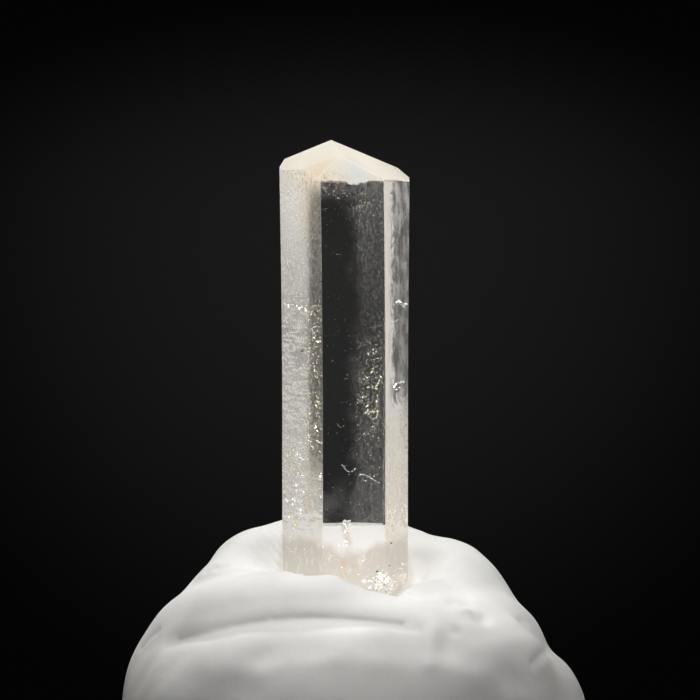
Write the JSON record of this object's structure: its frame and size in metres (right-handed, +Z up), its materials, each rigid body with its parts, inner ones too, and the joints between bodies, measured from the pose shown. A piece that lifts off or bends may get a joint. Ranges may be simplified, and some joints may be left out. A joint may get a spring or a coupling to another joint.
{
  "type": "phenakite crystal",
  "caption": "Clear hexagonal phenakite prism with a low rhombohedral tip, standing upright in a pinched lump of white mounting putty.",
  "frame": {"origin": "on the flat base of the putty, under the long axis of the crystal", "axes": "+Z up along the crystal's long axis, -Y towards the front prism face, +X to the right seen from the front"},
  "size_m": [0.0268, 0.0228, 0.0365],
  "materials": {
    "clear_phenakite": "clear colourless crystal with bright flat faces, partly frosted inside, milky and cracked at the broken foot",
    "white_putty": "matt white kneaded mounting putty, softly creased"
  },
  "bodies": {
    "root": {"phenakite_crystal": "clear_phenakite", "mounting_putty": "white_putty"}
  },
  "joints": []
}
